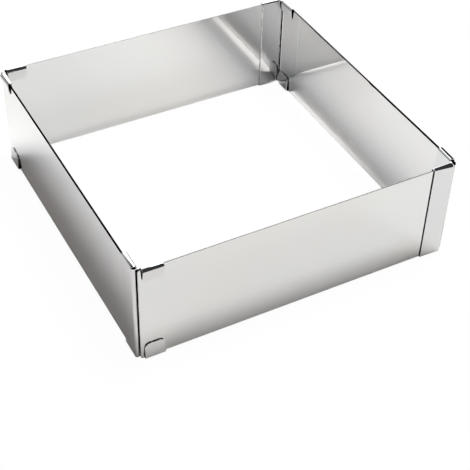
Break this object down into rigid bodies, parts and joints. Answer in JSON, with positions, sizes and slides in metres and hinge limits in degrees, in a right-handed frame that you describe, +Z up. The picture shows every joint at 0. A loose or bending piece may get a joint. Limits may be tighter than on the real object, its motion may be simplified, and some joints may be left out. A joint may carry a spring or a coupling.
{
  "type": "adjustable cake frame",
  "caption": "Square open frame of flat steel plates on edge, held by folded corner clips that slide along the plates to set its width and length.",
  "frame": {"origin": "middle of the square at its largest size, at the height of the surface it stands on", "axes": "+Z up; the front plate faces -Y, the right plate +X, the back plate +Y and the left plate -X"},
  "size_m": [0.2608, 0.2608, 0.085],
  "materials": {
    "plate_steel": "bright polished stainless sheet, near mirror, with a faint rolled grain along the plate",
    "clip_steel": "bright polished stainless sheet, slightly softer at the folded edges"
  },
  "bodies": {
    "unit_back_right": {"plate_right": "plate_steel", "clip_back_right": "clip_steel"},
    "unit_back_left": {"plate_back": "plate_steel", "clip_back_left": "clip_steel"},
    "unit_front_right": {"plate_front": "plate_steel", "clip_front_right": "clip_steel"},
    "unit_front_left": {"plate_left": "plate_steel", "clip_front_left": "clip_steel"}
  },
  "joints": [
    {"name": "width_slide_back", "type": "slide", "parent": "unit_back_right", "child": "unit_back_left", "axis": [1, 0, 0], "range_m": [0, 0.21]},
    {"name": "length_slide_right", "type": "slide", "parent": "unit_back_right", "child": "unit_front_right", "axis": [0, 1, 0], "range_m": [0, 0.21]},
    {"name": "width_slide_front", "type": "slide", "parent": "unit_front_right", "child": "unit_front_left", "axis": [1, 0, 0], "range_m": [0, 0.21]}
  ],
  "couplings": [
    {"joint": "width_slide_front", "follows": "width_slide_back", "ratio": 1}
  ]
}
